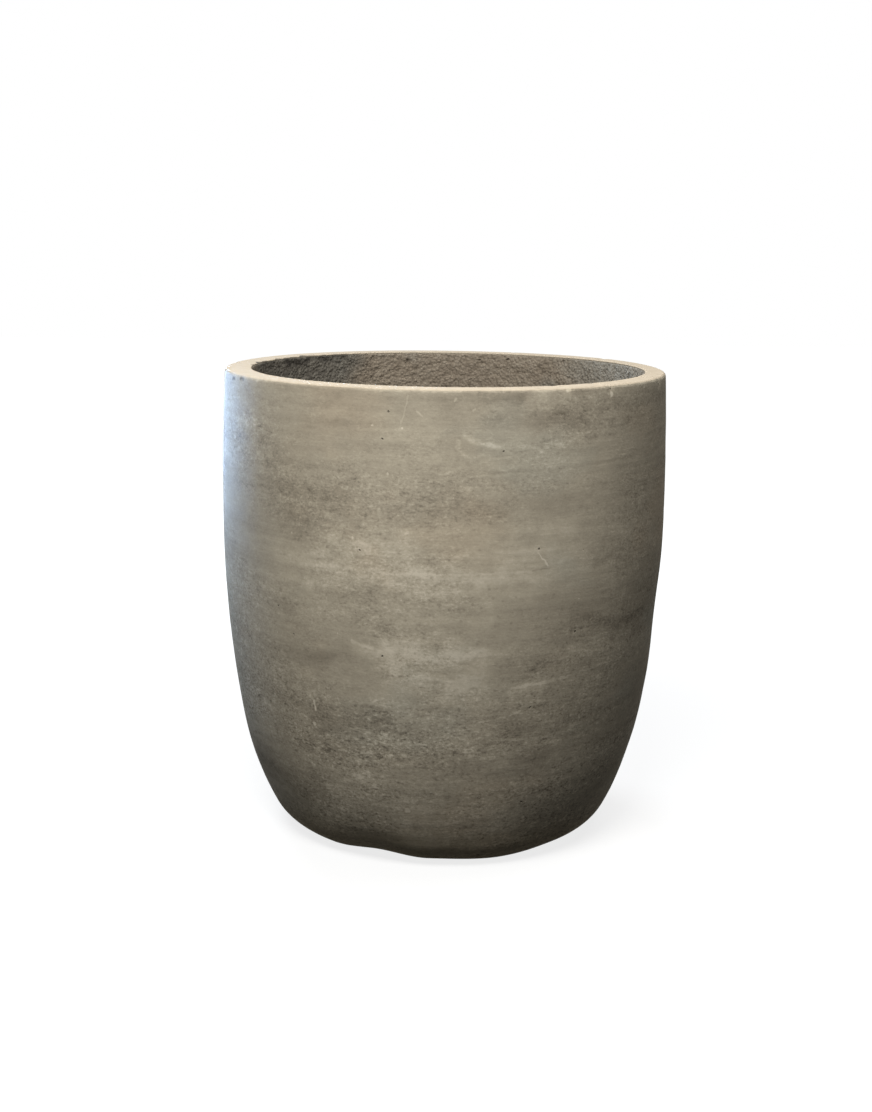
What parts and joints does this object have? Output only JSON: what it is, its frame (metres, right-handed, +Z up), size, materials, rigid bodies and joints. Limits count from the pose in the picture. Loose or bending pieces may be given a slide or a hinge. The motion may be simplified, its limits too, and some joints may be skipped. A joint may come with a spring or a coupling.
{
  "type": "concrete urn planter",
  "caption": "Round concrete floor planter with a flat trowelled rim, straight upper wall, tucked-in foot, drain hole and lift-out bung.",
  "frame": {"origin": "centre of the flat foot, on the ground", "axes": "+Z up along the pot's axis; +X and +Y level, and any turn about Z looks the same"},
  "size_m": [0.4679, 0.468, 0.489],
  "materials": {
    "face_mortar": "fine trowelled and sealed mortar, satin, with pale clouds and fine pits",
    "backing_mortar": "coarse rough-cast mortar, matt",
    "galvanised_strip": "dull zinc",
    "sleeve_plastic": "grey pipe plastic",
    "plug_rubber": "black moulded rubber"
  },
  "bodies": {
    "pot": {"face_coat": "face_mortar", "backing_coat": "backing_mortar", "rim_hoop": "galvanised_strip", "belly_hoop": "galvanised_strip", "haunch_hoop": "galvanised_strip", "upright_strip_1": "galvanised_strip", "upright_strip_2": "galvanised_strip", "upright_strip_3": "galvanised_strip", "upright_strip_4": "galvanised_strip", "upright_strip_5": "galvanised_strip", "upright_strip_6": "galvanised_strip", "drain_sleeve": "sleeve_plastic"},
    "plug": {"drain_plug": "plug_rubber"}
  },
  "joints": [
    {"name": "plug_lift", "type": "slide", "parent": "pot", "child": "plug", "axis": [0, 0, 1], "range_m": [0, 0.5]}
  ]
}
